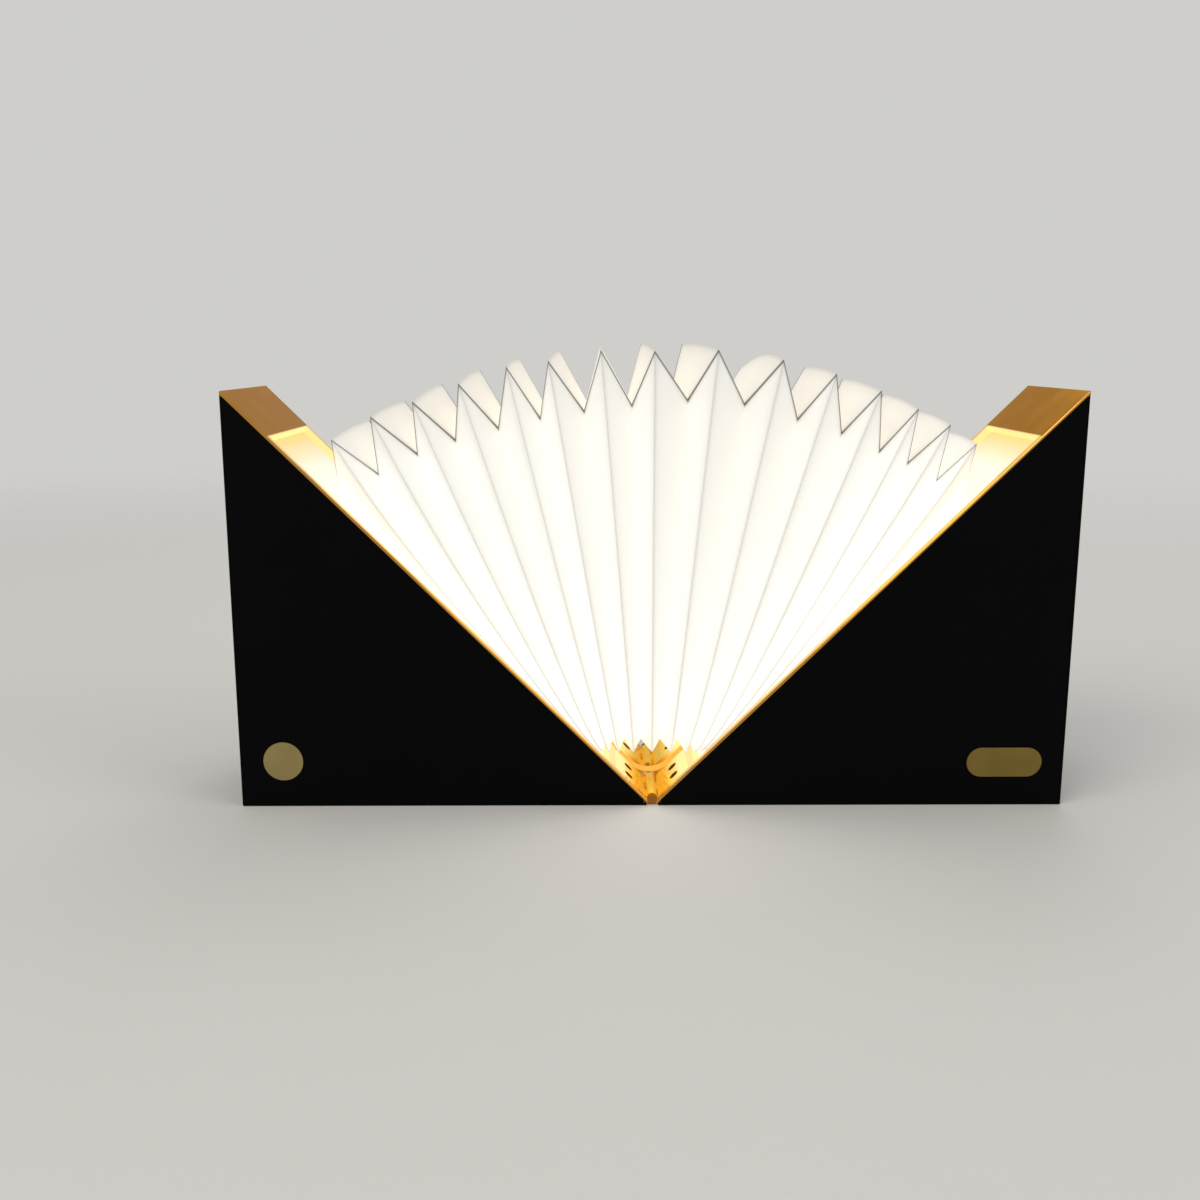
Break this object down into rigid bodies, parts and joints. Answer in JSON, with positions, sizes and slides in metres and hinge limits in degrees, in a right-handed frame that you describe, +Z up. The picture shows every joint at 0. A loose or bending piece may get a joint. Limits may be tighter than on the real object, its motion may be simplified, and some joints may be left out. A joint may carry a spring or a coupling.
{
  "type": "table lamp",
  "caption": "Folding table lamp: two triangular gold and black case halves hinged at the bottom, with a pleated paper fan shade between them.",
  "frame": {"origin": "on the floor under the hinge, midway between front and back", "axes": "+X to the right half with the badge, +Y away from the viewer of the front, +Z up"},
  "size_m": [0.2586, 0.0553, 0.1437],
  "materials": {
    "gold_aluminium": "gold anodised, satin",
    "black_lacquer": "black, fine matt",
    "gold_brass": "brushed, clear lacquer",
    "hinge_brass": "drawn brass",
    "screw_steel": "blackened",
    "hinge_screw_brass": "plain",
    "pleated_paper": "folded white paper, translucent",
    "paper_card": "white card",
    "white_board": "white solder mask",
    "led_resin": "yellow phosphor resin",
    "magnet_nickel": "nickel plated",
    "green_board": "green solder mask",
    "chip_resin": "moulded black resin",
    "switch_nylon": "moulded nylon",
    "port_steel": "stamped steel",
    "cell_sleeve": "shrink sleeve",
    "lead_insulation": "silicone rubber",
    "flex_film": "polyimide film"
  },
  "bodies": {
    "left_half": {"left_frame": "gold_aluminium", "left_front_panel": "black_lacquer", "left_back_panel": "black_lacquer", "left_back_screws": "screw_steel", "left_end_card": "paper_card", "left_light_board": "white_board", "left_light_chips": "led_resin", "left_magnets": "magnet_nickel", "left_hinge_leaves": "hinge_brass", "left_hinge_screws": "hinge_screw_brass", "hinge_pin": "hinge_brass", "push_switch": "switch_nylon", "control_board": "green_board", "board_screws": "screw_steel", "charging_port": "port_steel", "board_chips": "chip_resin", "connectors": "switch_nylon", "battery_cell": "cell_sleeve", "battery_cradle": "switch_nylon", "battery_leads": "lead_insulation", "led_feed_leads": "lead_insulation", "led_jumper_flex": "flex_film", "paper_shade": "pleated_paper"},
    "right_half": {"right_frame": "gold_aluminium", "right_front_panel": "black_lacquer", "right_back_panel": "black_lacquer", "right_back_screws": "screw_steel", "right_end_card": "paper_card", "right_light_board": "white_board", "right_light_chips": "led_resin", "right_magnets": "magnet_nickel", "right_hinge_leaves": "hinge_brass", "right_hinge_screws": "hinge_screw_brass", "badge_plate": "gold_brass"},
    "power_button": {"button_cap": "gold_brass", "button_plunger": "switch_nylon"}
  },
  "joints": [
    {"name": "case_hinge", "type": "hinge", "parent": "left_half", "child": "right_half", "pos_m": [0, 0, 0.0017], "axis": [0, -1, 0], "range_deg": [-90, 90], "deforming": ["paper_shade", "led_jumper_flex"]},
    {"name": "button_press", "type": "slide", "parent": "left_half", "child": "power_button", "axis": [0, 1, 0], "range_m": [0, 0.0008], "stiffness_N_per_m": 600}
  ]
}
